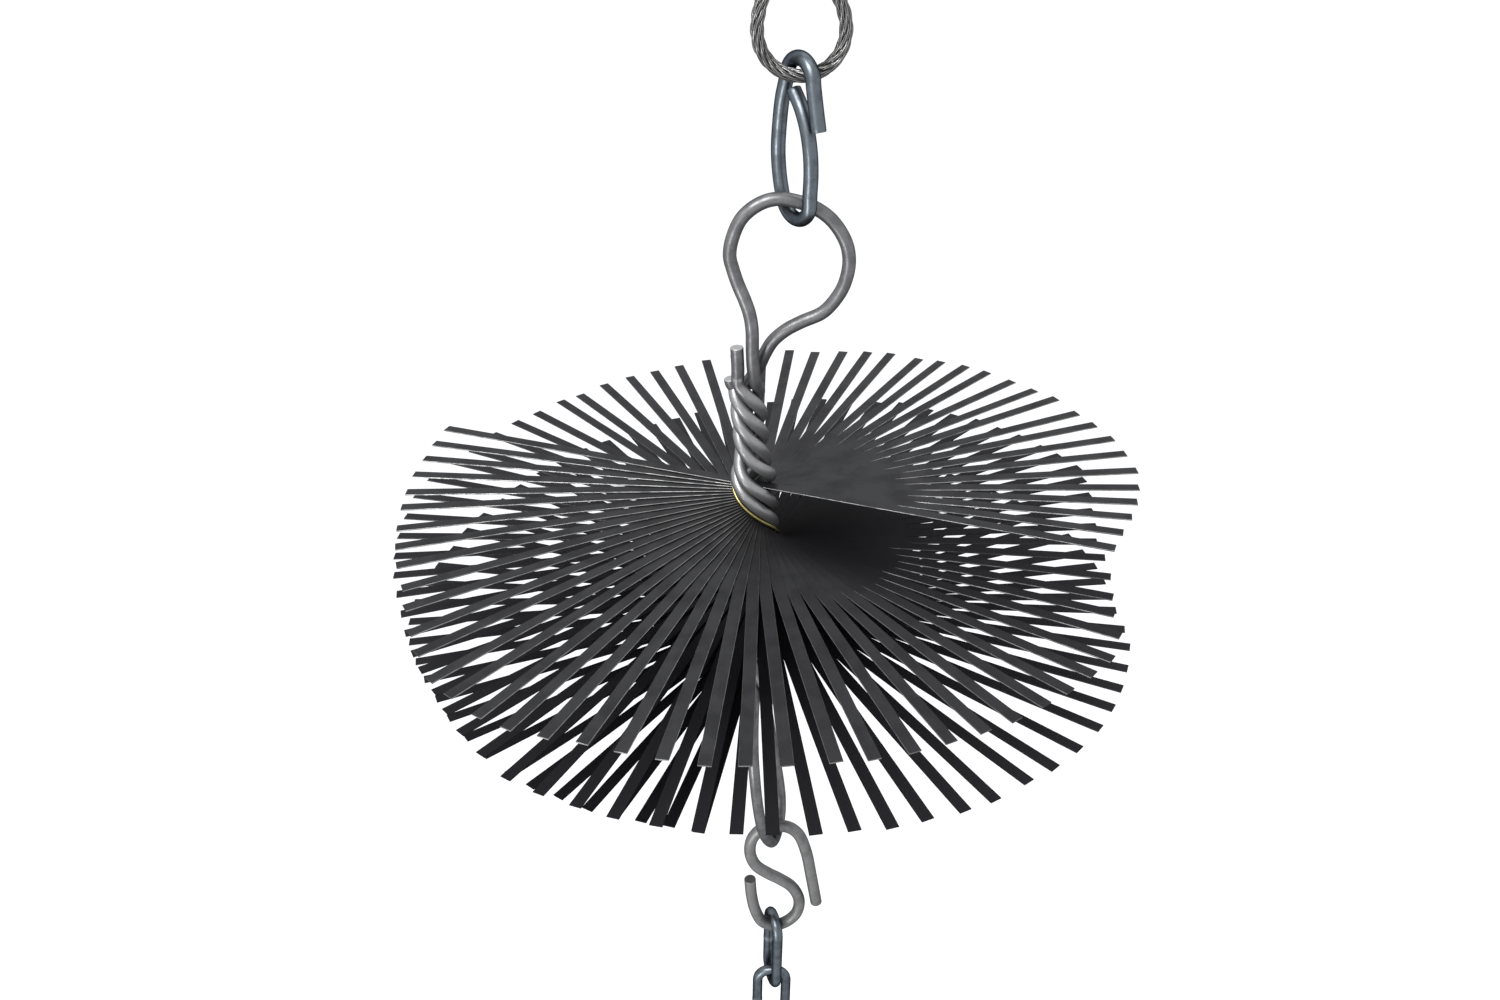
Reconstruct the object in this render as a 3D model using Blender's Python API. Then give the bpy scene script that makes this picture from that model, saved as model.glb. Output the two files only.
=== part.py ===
"""A chimney sweep's drop brush: a fan of flat spring-steel strips held in a twisted wire core.

It hangs from the eye of a wire rope by a hook link, and carries an S-hook and a chain for the drop weight.
Metres, +Z up. The origin is the cut top of the rope, on the plumb line that everything hangs on.
Seen from the front, along +Y, +X is to the right.
"""

import math

import bpy
import numpy as np
from mathutils import Matrix, Vector

# Clearance between pieces that touch on the real brush, and between bent wires that hang in each other
GAP = 0.0003
HANG_GAP = 0.0007

# Wire rope, its pressed ferrule and its eye
ROPE_D = 0.0040
ROPE_STANDING = 0.0060
ROPE_DEAD_END = 0.0015
FERRULE_LENGTH = 0.0180
FERRULE_WALL = 0.0022
FERRULE_CHAMFER = 0.0008
EYE_LENGTH = 0.0422
EYE_RADIUS = 0.0123

# Hook link: an open hook over the rope, bent round into a closed eye below
HOOK_D = 0.0044
HOOK_LENGTH = 0.0465
HOOK_WIDTH = 0.0160
HOOK_ARC_RADIUS = 0.0064
HOOK_EYE_RADIUS = 0.0070
HOOK_YAW = math.radians(-55)
HOOK_EYE_MARGIN = math.radians(22)

# The two wires of the core, each bent double into a loop
WIRE_D = 0.0042
TOP_LOOP_WIDTH = 0.0361
TOP_LOOP_HEIGHT = 0.0597
BOTTOM_LOOP_REACH = 0.0182
BOTTOM_LOOP_HEIGHT = 0.0771
CORE_ABOVE_FAN = 0.0380
CORE_BELOW_FAN = 0.0429
TWIST_LENGTH_ABOVE = 0.0329
TWIST_LENGTH_BELOW = 0.0567
CORE_TIGHT_RADIUS = 0.0039
CORE_OPENING = 0.0100
CORE_LEAN = 0.0012
CUT_END_LENGTH = 0.0135
SHORT_END_LENGTH = 0.0035
SHORT_END_DROP = 0.0025
END_SPLAY = 0.0012

# The fan of flat strips
BRUSH_D = 0.2500
STRIP_WIDTH = 0.0038
STRIP_THICKNESS = 0.0004
STRIP_PITCH_TOP = 0.00050
STRIP_PITCH_BOTTOM = 0.00077
STRIP_COUNT = 72
STRIP_STEP = math.radians(5.07)
FAN_START = math.radians(-22)
FAN_WOBBLE = math.radians(0.7)

# Thin brass packing wire that fills the groove between the strips and the core
PACKING_D = 0.0009

# S-hook and chain
S_HOOK_D = 0.0048
S_HOOK_LENGTH = 0.0586
S_HOOK_WIDTH = 0.0277
CHAIN_D = 0.0043
CHAIN_LINK_LENGTH = 0.0432
CHAIN_LINK_WIDTH = 0.0166
UPPER_LINK_YAW = math.radians(-73)

# Reach of the strips' two ends, as (share of the strips counted from the top, share of the brush's radius)
FAR_REACH_SHARES = (
    (0.000, 0.950),
    (0.014, 0.960),
    (0.042, 0.998),
    (0.070, 1.032),
    (0.097, 1.034),
    (0.167, 1.028),
    (0.250, 1.006),
    (0.350, 0.996),
    (0.430, 1.000),
    (0.486, 1.030),
    (0.500, 1.046),
    (0.514, 1.042),
    (0.528, 1.026),
    (0.556, 1.000),
    (0.583, 0.976),
    (0.600, 0.965),
    (0.653, 0.964),
    (0.680, 0.986),
    (0.708, 1.012),
    (0.736, 1.008),
    (0.800, 0.990),
    (0.880, 1.018),
    (0.944, 1.028),
    (1.000, 1.014),
)
NEAR_REACH_SHARES = (
    (0.000, 0.980),
    (0.014, 0.965),
    (0.070, 0.949),
    (0.125, 0.950),
    (0.139, 0.965),
    (0.153, 0.985),
    (0.167, 1.005),
    (0.181, 1.028),
    (0.200, 1.032),
    (0.222, 1.026),
    (0.236, 1.008),
    (0.250, 0.990),
    (0.300, 0.980),
    (0.375, 0.988),
    (0.440, 1.018),
    (0.458, 1.028),
    (0.472, 1.012),
    (0.486, 0.975),
    (0.500, 0.957),
    (0.542, 0.918),
    (0.570, 0.950),
    (0.611, 1.026),
    (0.700, 1.020),
    (0.850, 0.985),
    (1.000, 0.966),
)

# Spacing of the points along a bent wire, and the sides of a round wire
BEND_STEP = 0.0020
CORE_STEP = 0.0030
WIRE_BEVEL_STEPS = 2
ROUND_BEVEL_STEPS = 3
ARC_STEPS = 8
SPLINE_STEPS = 12

# Outline of the hook link as (width, length) shares below its top: its open end, its long leg, its bent-up end
HOOK_OPEN_SHARES = ((0.606, -0.398), (0.494, -0.263))
HOOK_LEG_SHARES = (
    (-0.512, -0.269),
    (-0.581, -0.433),
    (-0.606, -0.613),
    (-0.537, -0.772),
)
HOOK_CLOSING_SHARES = (
    (0.412, -0.805),
    (0.419, -0.674),
    (0.375, -0.543),
    (0.256, -0.409),
    (0.075, -0.300),
    (-0.125, -0.221),
)

# Top loop as (width, depth, height) shares above the core, from its left leg round to its right leg
TOP_LOOP_SHARES = (
    (0.042, -0.089, 0.101),
    (0.042, -0.091, 0.209),
    (0.046, -0.083, 0.327),
    (0.030, -0.066, 0.405),
    (-0.006, -0.042, 0.477),
    (-0.058, -0.017, 0.559),
    (-0.097, 0.0, 0.642),
    (-0.116, 0.0, 0.709),
    (-0.089, 0.0, 0.797),
    (0.003, 0.0, 0.908),
    (0.155, 0.0, 0.977),
    (0.299, 0.0, 0.998),
    (0.452, 0.0, 0.982),
    (0.601, 0.0, 0.946),
    (0.745, 0.0, 0.876),
    (0.859, 0.0, 0.757),
    (0.884, 0.0, 0.657),
    (0.856, 0.0, 0.559),
    (0.798, 0.0, 0.481),
    (0.662, 0.003, 0.384),
    (0.476, 0.008, 0.332),
    (0.338, 0.017, 0.286),
    (0.219, 0.028, 0.221),
    (0.147, 0.039, 0.147),
    (0.091, 0.061, 0.070),
)
TOP_HANG_INDEX = 12

# Bottom loop as (sideways, depth, height) shares below the core, from its back leg round to its front leg
BOTTOM_LOOP_SHARES = (
    (-0.027, 0.192, -0.058),
    (0.016, 0.176, -0.124),
    (0.066, 0.198, -0.256),
    (0.121, 0.275, -0.441),
    (0.192, 0.407, -0.626),
    (0.231, 0.495, -0.758),
    (0.247, 0.505, -0.857),
    (0.225, 0.374, -0.948),
    (0.126, 0.0, -1.0),
    (0.049, -0.286, -0.978),
    (-0.044, -0.566, -0.897),
    (-0.132, -0.819, -0.771),
    (-0.176, -0.945, -0.653),
    (-0.214, -1.0, -0.507),
    (-0.236, -0.989, -0.362),
    (-0.247, -0.852, -0.243),
    (-0.236, -0.577, -0.144),
    (-0.214, -0.302, -0.071),
)
BOTTOM_HANG_INDEX = 8

# S-hook from its long end, as (width, length) shares below the top of its upper arc
S_HOOK_SHARES = (
    (0.632, -0.752),
    (0.534, -0.478),
    (0.440, -0.238),
    (0.314, -0.073),
    (0.173, -0.012),
    (0.0, 0.0),
    (-0.188, -0.023),
    (-0.343, -0.123),
    (-0.375, -0.266),
    (-0.285, -0.389),
    (-0.105, -0.465),
    (0.076, -0.522),
    (0.260, -0.600),
    (0.372, -0.729),
    (0.336, -0.872),
    (0.177, -0.966),
    (0.0, -1.0),
    (-0.168, -0.966),
    (-0.278, -0.852),
    (-0.343, -0.694),
    (-0.372, -0.525),
)

# Sizes that follow from the ones above
ROPE_LEG_SHIFT = ROPE_D + 2 * GAP
FERRULE_TOP_Z = -ROPE_STANDING
FERRULE_BOTTOM_Z = FERRULE_TOP_Z - FERRULE_LENGTH
EYE_BOTTOM_Z = FERRULE_BOTTOM_Z - EYE_LENGTH
HOOK_TOP_RISE = (ROPE_D + HOOK_D) / 2 + HANG_GAP
HOOK_BOTTOM_Z = EYE_BOTTOM_Z + HOOK_TOP_RISE - HOOK_LENGTH
TOP_HANG_RISE = (HOOK_D + WIRE_D) / 2 + HANG_GAP + GAP
STRIP_GROWTH = (STRIP_PITCH_BOTTOM - STRIP_PITCH_TOP) / (2 * STRIP_COUNT)
FAN_HEIGHT = STRIP_COUNT * STRIP_PITCH_TOP + STRIP_GROWTH * STRIP_COUNT**2
PAIR_COUNT = STRIP_COUNT // 2
S_HOOK_RISE = (WIRE_D + S_HOOK_D) / 2 + HANG_GAP
UPPER_LINK_RISE = (S_HOOK_D + CHAIN_D) / 2 + HANG_GAP
LOWER_LINK_RISE = CHAIN_D + HANG_GAP
CORE_PAIR_U = 0.735 * WIRE_D
CORE_PAIR_V = STRIP_WIDTH / 2 + GAP + 0.62 * WIRE_D


def clear_scene():
    """Take the default objects out, so that only the brush is left."""
    for thing in list(bpy.data.objects):
        bpy.data.objects.remove(thing, do_unlink=True)


def material(name, colour, roughness, metallic):
    """A plain Principled material."""
    made = bpy.data.materials.new(name)
    made.use_nodes = True
    shader = made.node_tree.nodes["Principled BSDF"]
    shader.inputs["Base Color"].default_value = (*colour, 1.0)
    shader.inputs["Roughness"].default_value = roughness
    shader.inputs["Metallic"].default_value = metallic
    made.diffuse_color = (*colour, 1.0)
    return made


def empty(name, parent, place, turn=Matrix()):
    """A frame that pieces hang in, carried by its parent; its place and turn are stated in the world."""
    frame = bpy.data.objects.new(name, None)
    bpy.context.collection.objects.link(frame)
    frame.parent = parent
    bpy.context.view_layer.update()
    frame.matrix_world = Matrix.Translation(place) @ turn
    return frame


def add_mesh(name, mesh, parent, paint):
    """Show a mesh under its parent frame."""
    piece = bpy.data.objects.new(name, mesh)
    bpy.context.collection.objects.link(piece)
    piece.parent = parent
    mesh.materials.append(paint)
    return piece


def smooth_curve(points, closed=False):
    """Points close together on a smooth curve through the given ones (a centripetal Catmull-Rom spline)."""
    knots = [Vector(p) for p in points]
    count = len(knots)
    if closed:
        around = [knots[-1], *knots, knots[0], knots[1]]
    else:
        around = [2 * knots[0] - knots[1], *knots, 2 * knots[-1] - knots[-2]]
    curve = []
    for i in range(count if closed else count - 1):
        a, b, c, d = around[i : i + 4]
        t0 = 0.0
        t1 = t0 + math.sqrt((b - a).length)
        t2 = t1 + math.sqrt((c - b).length)
        t3 = t2 + math.sqrt((d - c).length)
        for step in range(SPLINE_STEPS):
            t = t1 + (t2 - t1) * step / SPLINE_STEPS
            ab = a.lerp(b, (t - t0) / (t1 - t0))
            bc = b.lerp(c, (t - t1) / (t2 - t1))
            cd = c.lerp(d, (t - t2) / (t3 - t2))
            abc = ab.lerp(bc, (t - t0) / (t2 - t0))
            bcd = bc.lerp(cd, (t - t1) / (t3 - t1))
            curve.append(abc.lerp(bcd, (t - t1) / (t2 - t1)))
    if not closed:
        curve.append(knots[-1])
    return curve


def evenly_spaced(curve, step, closed=False):
    """The curve again, with its points about one step apart."""
    line = np.array([*curve, curve[0]] if closed else curve)
    along = np.concatenate([[0.0], np.cumsum(np.linalg.norm(np.diff(line, axis=0), axis=1))])
    count = round(along[-1] / step) + 1
    stops = np.linspace(0, along[-1], count)
    if closed:
        stops = stops[:-1]
    return [Vector(np.interp(s, along, line[:, axis]) for axis in range(3)) for s in stops]


def round_wire(name, points, diameter, parent, paint, closed=False, sides=WIRE_BEVEL_STEPS):
    """A round wire or rope bent along a line of points, with square-cut ends."""
    data = bpy.data.curves.new(name, "CURVE")
    data.dimensions = "3D"
    data.bevel_depth = diameter / 2
    data.bevel_resolution = sides
    data.use_fill_caps = True
    spline = data.splines.new("POLY")
    spline.points.add(len(points) - 1)
    for spot, point in zip(spline.points, points):
        spot.co = (*point, 1.0)
    spline.use_cyclic_u = closed
    spline.use_smooth = True
    data.materials.append(paint)
    piece = bpy.data.objects.new(name, data)
    bpy.context.collection.objects.link(piece)
    piece.parent = parent
    return piece


def arc(centre, radius, start, end, steps=ARC_STEPS):
    """Points on an arc in the XZ plane; angles turn from +X towards +Z."""
    turns = [start + (end - start) * i / steps for i in range(steps + 1)]
    return [centre + Vector((radius * math.cos(t), 0, radius * math.sin(t))) for t in turns]


def make_wire_rope(parent, paint):
    """The rope comes down through the ferrule, round the eye, and back up through the ferrule to its dead end."""
    centre = Vector((0, 0, EYE_BOTTOM_Z + EYE_RADIUS))
    neck = FERRULE_BOTTOM_Z - centre.z
    line = [Vector((0, 0, 0)), Vector((0, 0, FERRULE_TOP_Z)), Vector((0, 0, FERRULE_BOTTOM_Z))]
    shares = [step / ARC_STEPS for step in range(1, ARC_STEPS)]
    spread = [(1 - math.cos(math.pi * share)) / 2 for share in shares]
    for share, out in zip(shares, spread):
        line.append(Vector((EYE_RADIUS * out, 0, FERRULE_BOTTOM_Z - neck * share)))
    line += arc(centre, EYE_RADIUS, 0, -math.pi)
    for share, out in reversed(list(zip(shares, spread))):
        inward = -ROPE_LEG_SHIFT - (EYE_RADIUS - ROPE_LEG_SHIFT) * out
        line.append(Vector((inward, 0, FERRULE_BOTTOM_Z - neck * share)))
    line.append(Vector((-ROPE_LEG_SHIFT, 0, FERRULE_BOTTOM_Z)))
    line.append(Vector((-ROPE_LEG_SHIFT, 0, FERRULE_TOP_Z + ROPE_DEAD_END)))
    points = evenly_spaced(smooth_curve(line), BEND_STEP)
    return round_wire("wire_rope", points, ROPE_D, parent, paint, sides=ROUND_BEVEL_STEPS)


def stadium(half_span, radius, steps=ARC_STEPS):
    """An outline with two round ends, as (x, y) points."""
    outline = []
    for side in (1, -1):
        for i in range(steps + 1):
            turn = math.pi * (i / steps - 0.5)
            outline.append((side * (half_span + radius * math.cos(turn)), side * radius * math.sin(turn)))
    return outline


def make_ferrule(parent, paint):
    """An oval pressed sleeve with one bore that both legs of the rope pass through."""
    half_span = ROPE_LEG_SHIFT / 2
    bore = ROPE_D / 2 + GAP
    outer = bore + FERRULE_WALL
    slim = outer - FERRULE_CHAMFER
    top = FERRULE_TOP_Z
    bottom = FERRULE_BOTTOM_Z
    rings = (
        (bore, bottom),
        (slim, bottom),
        (outer, bottom + FERRULE_CHAMFER),
        (outer, top - FERRULE_CHAMFER),
        (slim, top),
        (bore, top),
    )
    verts = []
    faces = []
    for radius, z in rings:
        verts += [(x - half_span, y, z) for x, y in stadium(half_span, radius)]
    per_ring = len(verts) // len(rings)
    for ring in range(len(rings)):
        after = (ring + 1) % len(rings)
        for i in range(per_ring):
            j = (i + 1) % per_ring
            corners = (ring, i), (ring, j), (after, j), (after, i)
            faces.append([r * per_ring + k for r, k in corners])
    mesh = bpy.data.meshes.new("rope_ferrule")
    mesh.from_pydata(verts, [], faces)
    mesh.shade_smooth()
    mesh.set_sharp_from_angle(angle=math.radians(30))
    return add_mesh("rope_ferrule", mesh, parent, paint)


def make_hook_link(parent, paint):
    """The open hook passes over the rope; the other end is bent up to close the lower eye."""
    top = Vector((0, 0, HOOK_TOP_RISE))
    line = [top + Vector((x * HOOK_WIDTH, 0, z * HOOK_LENGTH)) for x, z in HOOK_OPEN_SHARES]
    line += arc(top - Vector((0, 0, HOOK_ARC_RADIUS)), HOOK_ARC_RADIUS, 0, math.pi)
    line += [top + Vector((x * HOOK_WIDTH, 0, z * HOOK_LENGTH)) for x, z in HOOK_LEG_SHARES]
    eye = top + Vector((0, 0, HOOK_EYE_RADIUS - HOOK_LENGTH))
    line += arc(eye, HOOK_EYE_RADIUS, -math.pi + HOOK_EYE_MARGIN, -HOOK_EYE_MARGIN)
    line += [top + Vector((x * HOOK_WIDTH, 0, z * HOOK_LENGTH)) for x, z in HOOK_CLOSING_SHARES]
    points = evenly_spaced(smooth_curve(line), BEND_STEP)
    return round_wire("hook_link", points, HOOK_D, parent, paint, sides=ROUND_BEVEL_STEPS)


def strip_height(count):
    """Height of a strip below the top of the fan: the pitch grows slowly towards the bottom."""
    return -(STRIP_PITCH_TOP * count + STRIP_GROWTH * count**2)


def twist(z):
    """Direction of the strips at height z in the core; the wires turn with them."""
    if z > 0:
        return FAN_START - 2 * math.pi * z / TWIST_LENGTH_ABOVE
    if z < -FAN_HEIGHT:
        return twist(-FAN_HEIGHT) - 2 * math.pi * (z + FAN_HEIGHT) / TWIST_LENGTH_BELOW
    root = math.sqrt(STRIP_PITCH_TOP**2 - 4 * STRIP_GROWTH * z)
    return FAN_START + STRIP_STEP * (root - STRIP_PITCH_TOP) / (2 * STRIP_GROWTH)


def spread_share(z):
    """1 where the wires are forced apart by the strips, 0 where they close up above and below."""
    outside = max(z - WIRE_D / 2, -FAN_HEIGHT - z - WIRE_D / 2, 0.0)
    share = max(0.0, 1 - outside / CORE_OPENING)
    return share * share * (3 - 2 * share)


def core_point(z, side_u, side_v):
    """Centre of one of the four wires at height z; the sides say which corner of the core it keeps to."""
    share = spread_share(z)
    tight = CORE_TIGHT_RADIUS * math.sqrt(0.5)
    u = side_u * (tight + (CORE_PAIR_U - tight) * share)
    v = side_v * (tight + (CORE_PAIR_V - tight) * share)
    turn = twist(z)
    bend = CORE_LEAN * (max(z, 0.0) / CORE_ABOVE_FAN) ** 2
    return Vector((u * math.cos(turn) - v * math.sin(turn) - bend, u * math.sin(turn) + v * math.cos(turn), z))


def core_wire(side_u, side_v, top_z, bottom_z):
    """Points down one wire of the core."""
    count = round((top_z - bottom_z) / BEND_STEP)
    return [core_point(top_z + (bottom_z - top_z) * i / count, side_u, side_v) for i in range(count + 1)]


def cut_end(last, length, outward):
    """A straight end that stands off the core, leaning outward a little."""
    side = Vector((last.x, last.y, 0)).normalized() * outward
    rise = Vector((0, 0, length))
    return [last + rise / 2 + side * 0.75, last + rise + side]


def top_loop_point(shares):
    """A point of the top loop in the brush's frame."""
    x, y, z = shares
    return Vector((x * TOP_LOOP_WIDTH, y * TOP_LOOP_WIDTH, CORE_ABOVE_FAN + z * TOP_LOOP_HEIGHT))


def bottom_loop_point(shares):
    """A point of the bottom loop in the brush's frame."""
    x, y, z = shares
    base = -FAN_HEIGHT - CORE_BELOW_FAN
    return Vector((x * BOTTOM_LOOP_REACH, y * BOTTOM_LOOP_REACH, base + z * BOTTOM_LOOP_HEIGHT))


def make_top_loop_wire(parent, paint):
    """One wire: up through the core, round the top loop, and down through the core again."""
    top = CORE_ABOVE_FAN
    bottom = -FAN_HEIGHT - CORE_BELOW_FAN
    left = core_wire(1, 1, top, bottom)
    right = core_wire(-1, 1, top, bottom)
    line = [*reversed(cut_end(left[-1], -SHORT_END_LENGTH, END_SPLAY)), *reversed(left)]
    line += [top_loop_point(shares) for shares in TOP_LOOP_SHARES]
    line += [*right, *cut_end(right[-1], -SHORT_END_LENGTH, END_SPLAY)]
    return round_wire("top_loop_wire", evenly_spaced(smooth_curve(line), CORE_STEP), WIRE_D, parent, paint)


def make_bottom_loop_wire(parent, paint):
    """The other wire: down through the core, round the bottom loop, and up again to its two cut ends."""
    top = CORE_ABOVE_FAN
    bottom = -FAN_HEIGHT - CORE_BELOW_FAN
    front = core_wire(1, -1, top, bottom)
    back = core_wire(-1, -1, top - SHORT_END_DROP, bottom)
    line = [*reversed(cut_end(back[0], SHORT_END_LENGTH, END_SPLAY)), *back]
    line += [bottom_loop_point(shares) for shares in BOTTOM_LOOP_SHARES]
    line += [*reversed(front), *cut_end(front[0], CUT_END_LENGTH, 0)]
    return round_wire("bottom_loop_wire", evenly_spaced(smooth_curve(line), CORE_STEP), WIRE_D, parent, paint)


def make_packing_wire(parent, paint):
    """The thin wire keeps to the groove between the strips and one wire of the core."""
    u = -(CORE_PAIR_U + 0.8 * WIRE_D)
    v = -(STRIP_WIDTH / 2 + PACKING_D + GAP)
    first = strip_height(0)
    last = strip_height(STRIP_COUNT - 1)
    count = 2 * round((first - last) / BEND_STEP)
    points = []
    for i in range(count + 1):
        z = first + (last - first) * i / count
        turn = twist(z)
        points.append(Vector((u * math.cos(turn) - v * math.sin(turn), u * math.sin(turn) + v * math.cos(turn), z)))
    return round_wire("packing_wire", points, PACKING_D, parent, paint)


def reach(count, table):
    """How far the end of a strip stands from the core's axis; the brush was cut by eye and isn't quite round."""
    places, radii = zip(*table)
    return BRUSH_D / 2 * float(np.interp(count / STRIP_COUNT, places, radii))


def strip_outline(angle, count):
    """Corners of one flat strip in plan: it crosses the core, and both ends reach the rim."""
    along = Vector((math.cos(angle), math.sin(angle)))
    across = Vector((-along.y, along.x)) * STRIP_WIDTH / 2
    near = along * -reach(count, NEAR_REACH_SHARES)
    far = along * reach(count, FAR_REACH_SHARES)
    return [near - across, far - across, far + across, near + across]


def slab(outline, low, high):
    """A mesh of an outline raised from one height to another."""
    count = len(outline)
    verts = [(p.x, p.y, low) for p in outline] + [(p.x, p.y, high) for p in outline]
    faces = [list(range(count))[::-1], list(range(count, 2 * count))]
    faces += [[i, (i + 1) % count, count + (i + 1) % count, count + i] for i in range(count)]
    mesh = bpy.data.meshes.new("strip")
    mesh.from_pydata(verts, [], faces)
    return mesh


def make_strip_pair(number, parent, paint):
    """Two neighbouring strips that lie face to face where they cross in the core."""
    middle = 2 * number + 0.5
    z = strip_height(middle)
    wobble = FAN_WOBBLE * math.sin(number * math.e * 2)
    turn = FAN_START + STRIP_STEP * middle + wobble
    lap = STRIP_THICKNESS / 16
    upper = strip_outline(turn - STRIP_STEP / 2, 2 * number)
    lower = strip_outline(turn + STRIP_STEP / 2, 2 * number + 1)
    name = f"strip_pair_{number + 1:02d}"
    piece = add_mesh(name, slab(upper, z - lap / 2, z + STRIP_THICKNESS), parent, paint)
    tool = add_mesh(f"{name}_second", slab(lower, z - STRIP_THICKNESS, z + lap / 2), parent, paint)
    tool.hide_render = True
    tool.display_type = "WIRE"
    join = piece.modifiers.new("second strip", "BOOLEAN")
    join.operation = "UNION"
    join.object = tool
    return piece


def make_s_hook(parent, paint):
    """The S-hook hangs in the bottom loop and carries the chain in its lower arc."""
    rise = S_HOOK_RISE
    line = [Vector((x * S_HOOK_WIDTH, 0, rise + z * S_HOOK_LENGTH)) for x, z in S_HOOK_SHARES]
    points = evenly_spaced(smooth_curve(line), BEND_STEP)
    return round_wire("s_hook", points, S_HOOK_D, parent, paint, sides=ROUND_BEVEL_STEPS)


def make_chain_link(name, rise, parent, paint):
    """A long welded link that hangs by the inside of its upper end."""
    radius = (CHAIN_LINK_WIDTH - CHAIN_D) / 2
    top = Vector((0, 0, rise - radius))
    bottom = Vector((0, 0, rise - CHAIN_LINK_LENGTH + CHAIN_D + radius))
    line = arc(top, radius, 0, math.pi)
    line += arc(bottom, radius, math.pi, 2 * math.pi)
    points = evenly_spaced(line, BEND_STEP, closed=True)
    return round_wire(name, points, CHAIN_D, parent, paint, closed=True, sides=ROUND_BEVEL_STEPS)


def build():
    """Hang the pieces one below another on the plumb line."""
    galvanised = material("galvanised wire", (0.36, 0.38, 0.41), 0.38, 1.0)
    rope_steel = material("stranded rope", (0.42, 0.41, 0.40), 0.42, 1.0)
    alloy = material("pressed alloy", (0.55, 0.55, 0.55), 0.45, 1.0)
    core_steel = material("core wire", (0.36, 0.36, 0.38), 0.36, 1.0)
    strip_steel = material("blackened spring steel", (0.055, 0.055, 0.06), 0.42, 1.0)
    brass = material("brass packing", (0.62, 0.58, 0.30), 0.35, 1.0)
    matt_zinc = material("matt zinc", (0.27, 0.27, 0.27), 0.62, 1.0)
    chain_steel = material("chain steel", (0.26, 0.29, 0.32), 0.40, 1.0)

    rope = empty("rope_frame", None, Vector((0, 0, 0)))
    make_wire_rope(rope, rope_steel)
    make_ferrule(rope, alloy)

    hook = empty("hook_pivot", rope, Vector((0, 0, EYE_BOTTOM_Z)), Matrix.Rotation(HOOK_YAW, 4, "Z"))
    make_hook_link(hook, galvanised)

    top_hang = top_loop_point(TOP_LOOP_SHARES[TOP_HANG_INDEX])
    bottom_hang = bottom_loop_point(BOTTOM_LOOP_SHARES[BOTTOM_HANG_INDEX])
    plumb = (top_hang - bottom_hang).normalized()
    tilt = plumb.rotation_difference(Vector((0, 0, 1))).to_matrix().to_4x4()
    hang_z = HOOK_BOTTOM_Z + TOP_HANG_RISE
    pivot = empty("brush_pivot", hook, Vector((0, 0, hang_z)))
    brush = empty("brush_frame", pivot, Vector((0, 0, hang_z)) - tilt @ top_hang, tilt)
    make_top_loop_wire(brush, core_steel)
    make_bottom_loop_wire(brush, core_steel)
    make_packing_wire(brush, brass)
    for number in range(PAIR_COUNT):
        make_strip_pair(number, brush, strip_steel)

    loop_bottom = hang_z - (top_hang - bottom_hang).length
    s_pivot = empty("s_hook_pivot", pivot, Vector((0, 0, loop_bottom)))
    make_s_hook(s_pivot, matt_zinc)

    s_bottom = loop_bottom + S_HOOK_RISE - S_HOOK_LENGTH
    upper_turn = Matrix.Rotation(UPPER_LINK_YAW, 4, "Z")
    upper = empty("upper_link_pivot", s_pivot, Vector((0, 0, s_bottom)), upper_turn)
    make_chain_link("chain_link_upper", UPPER_LINK_RISE, upper, chain_steel)

    link_bottom = s_bottom + UPPER_LINK_RISE - (CHAIN_LINK_LENGTH - CHAIN_D)
    lower = empty("lower_link_pivot", upper, Vector((0, 0, link_bottom)))
    make_chain_link("chain_link_lower", LOWER_LINK_RISE, lower, chain_steel)


clear_scene()
build()
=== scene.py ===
"""Looks of the chimney sweep's drop brush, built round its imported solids.

Every piece is a surface worked out with numpy in the row frame, in metres, and rides on the body of the solid
that it replaces. The core wires, the strips and the packing wire are worked out in one frame. It tilts as the
brush hangs, and its origin is on the core's axis at the top of the fan.
"""

import math

import bpy
import numpy as np
from mathutils import Matrix, Vector


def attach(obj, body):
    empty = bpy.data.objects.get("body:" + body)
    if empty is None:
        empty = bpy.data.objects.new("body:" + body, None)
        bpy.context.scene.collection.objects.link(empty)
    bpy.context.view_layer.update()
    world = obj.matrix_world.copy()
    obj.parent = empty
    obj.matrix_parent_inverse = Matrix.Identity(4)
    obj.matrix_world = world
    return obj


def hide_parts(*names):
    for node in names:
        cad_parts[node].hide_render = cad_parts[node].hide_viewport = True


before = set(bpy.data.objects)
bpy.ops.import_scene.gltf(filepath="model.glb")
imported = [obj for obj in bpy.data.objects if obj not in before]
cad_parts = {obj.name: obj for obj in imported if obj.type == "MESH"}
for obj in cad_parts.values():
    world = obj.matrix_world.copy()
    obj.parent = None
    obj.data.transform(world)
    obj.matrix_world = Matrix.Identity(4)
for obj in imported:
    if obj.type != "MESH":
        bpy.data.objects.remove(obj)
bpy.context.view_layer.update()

# Camera, fitted to the photograph; its focal length is a share of the picture's width
FOCAL_SHARE = 0.87068
SENSOR_WIDTH_MM = 36
CAMERA_PLACE = Vector((-0.01109, -0.37416, 0.02673))
CAMERA_FORWARD = Vector((-0.003031, 0.848374, -0.529389))
CAMERA_UP = Vector((-0.015775, 0.529285, 0.848297))
NEAREST_SEEN = 0.01
FARTHEST_SEEN = 50

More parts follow.
